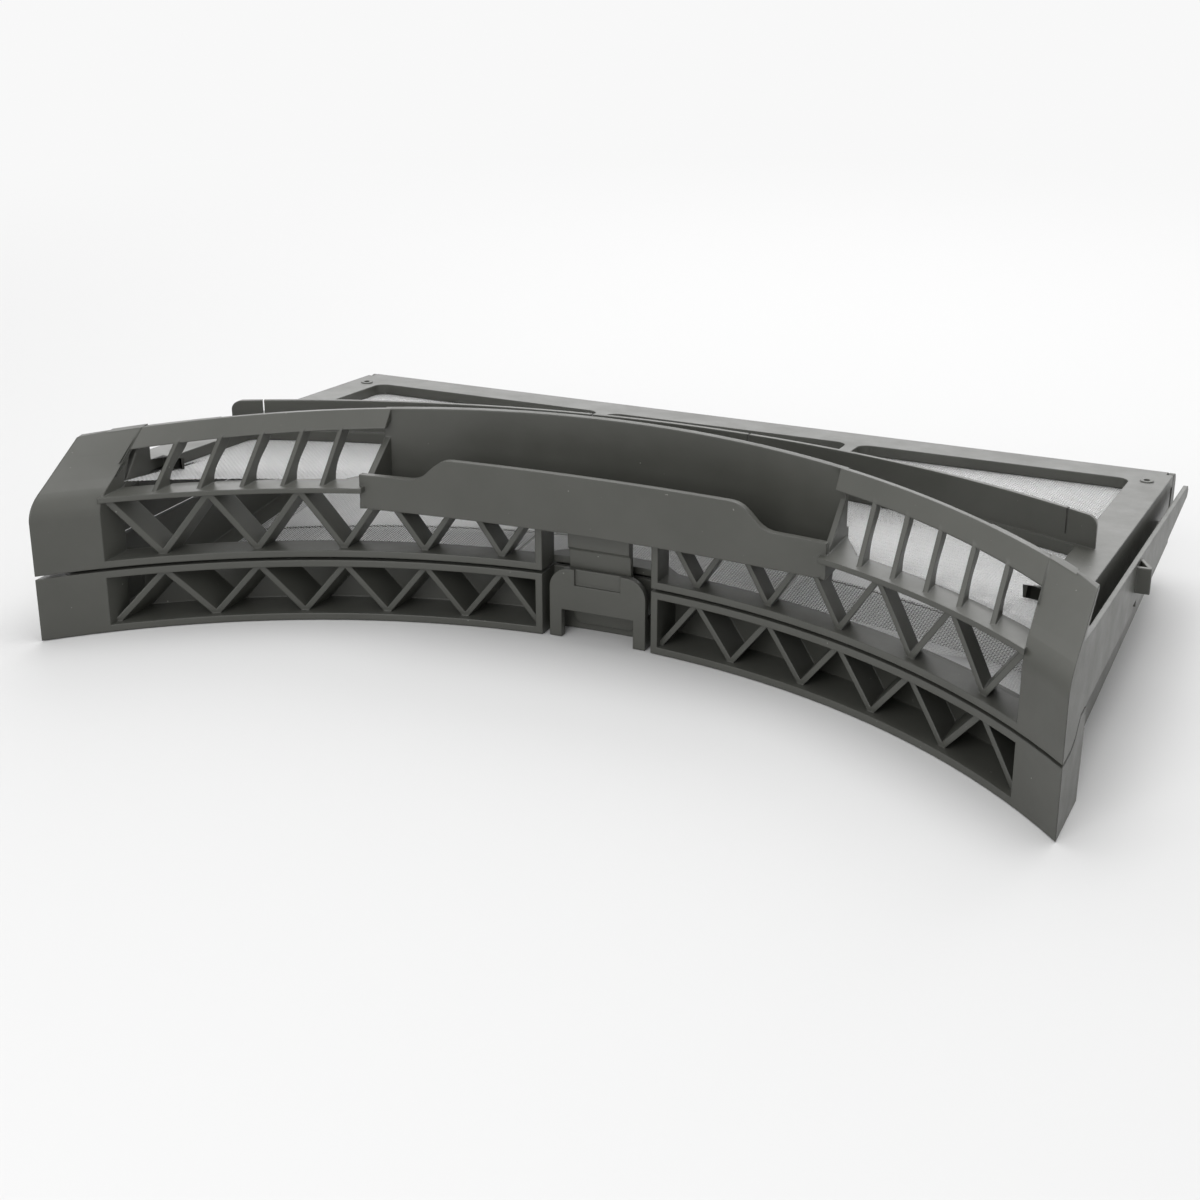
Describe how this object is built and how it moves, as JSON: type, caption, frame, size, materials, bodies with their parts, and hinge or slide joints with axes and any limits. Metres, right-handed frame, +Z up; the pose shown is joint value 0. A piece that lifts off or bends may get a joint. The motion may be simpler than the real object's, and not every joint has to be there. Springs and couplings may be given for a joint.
{
  "type": "tumble dryer lint filter",
  "caption": "Hinged clamshell lint filter with a concave truss grille, louvred ends, a finger pocket handle, a snap latch and mesh panels.",
  "frame": {"origin": "on the standing surface, under the middle of the part's box", "axes": "+X along the width, to the right seen from the handle; +Y from the handle to the hinge; +Z up"},
  "size_m": [0.4386, 0.27, 0.0903],
  "materials": {
    "frame": "satin moulded warm grey",
    "mesh": "woven white monofilament"
  },
  "bodies": {
    "lower_half": {"lower_frame": "frame", "lower_mesh_front_left": "mesh", "lower_mesh_front_middle": "mesh", "lower_mesh_front_right": "mesh", "lower_mesh_rear_left": "mesh", "lower_mesh_rear_middle": "mesh", "lower_mesh_rear_right": "mesh"},
    "upper_half": {"upper_frame": "frame", "upper_mesh_front_left": "mesh", "upper_mesh_front_middle": "mesh", "upper_mesh_front_right": "mesh", "upper_mesh_rear_left": "mesh", "upper_mesh_rear_middle": "mesh", "upper_mesh_rear_right": "mesh"}
  },
  "joints": [
    {"name": "clamshell_hinge", "type": "hinge", "parent": "lower_half", "child": "upper_half", "pos_m": [0, 0.1305, 0.0475], "axis": [-1, 0, 0], "range_deg": [0, 150]}
  ]
}
